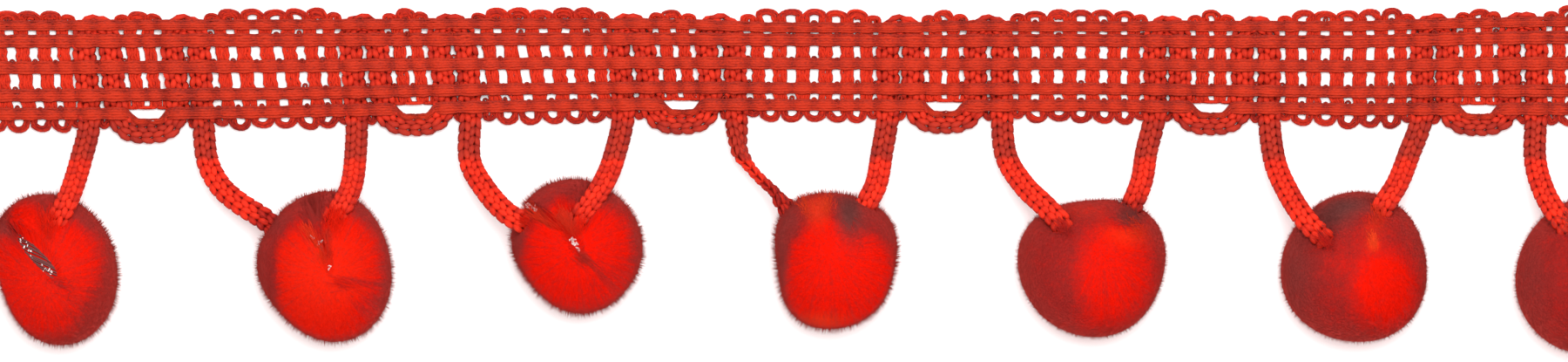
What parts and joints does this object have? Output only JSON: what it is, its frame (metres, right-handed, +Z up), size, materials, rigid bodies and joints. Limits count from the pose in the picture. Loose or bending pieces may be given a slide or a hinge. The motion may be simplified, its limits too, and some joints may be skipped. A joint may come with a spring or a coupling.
{
  "type": "pompom trim",
  "caption": "Cut length of pompom trim laid flat: openwork chain heading laced with one knitted cord, cut yarn pompoms hanging in the cord's loops.",
  "frame": {"origin": "on the surface the trim lies on, under the middle of the heading's middle chain row", "axes": "+X along the trim, +Y across it towards its plain edge, away from the pompoms, +Z up off the surface"},
  "size_m": [0.2596, 0.0498, 0.0182],
  "materials": {
    "chain_yarn": "matt textured yarn in warp chains and weft bars",
    "knitted_cord": "matt knitted tubular cord, flattened",
    "pompom_yarn": "velvety cut acrylic yarn",
    "clear_thread": "shiny clear nylon binding thread"
  },
  "bodies": {
    "root": {"heading": "chain_yarn", "carrier_cord": "knitted_cord", "pompom_1": "pompom_yarn", "pompom_2": "pompom_yarn", "pompom_3": "pompom_yarn", "pompom_4": "pompom_yarn", "pompom_5": "pompom_yarn", "pompom_6": "pompom_yarn", "pompom_7": "pompom_yarn", "tie_1": "clear_thread", "tie_2": "clear_thread", "tie_3": "clear_thread"}
  },
  "joints": []
}
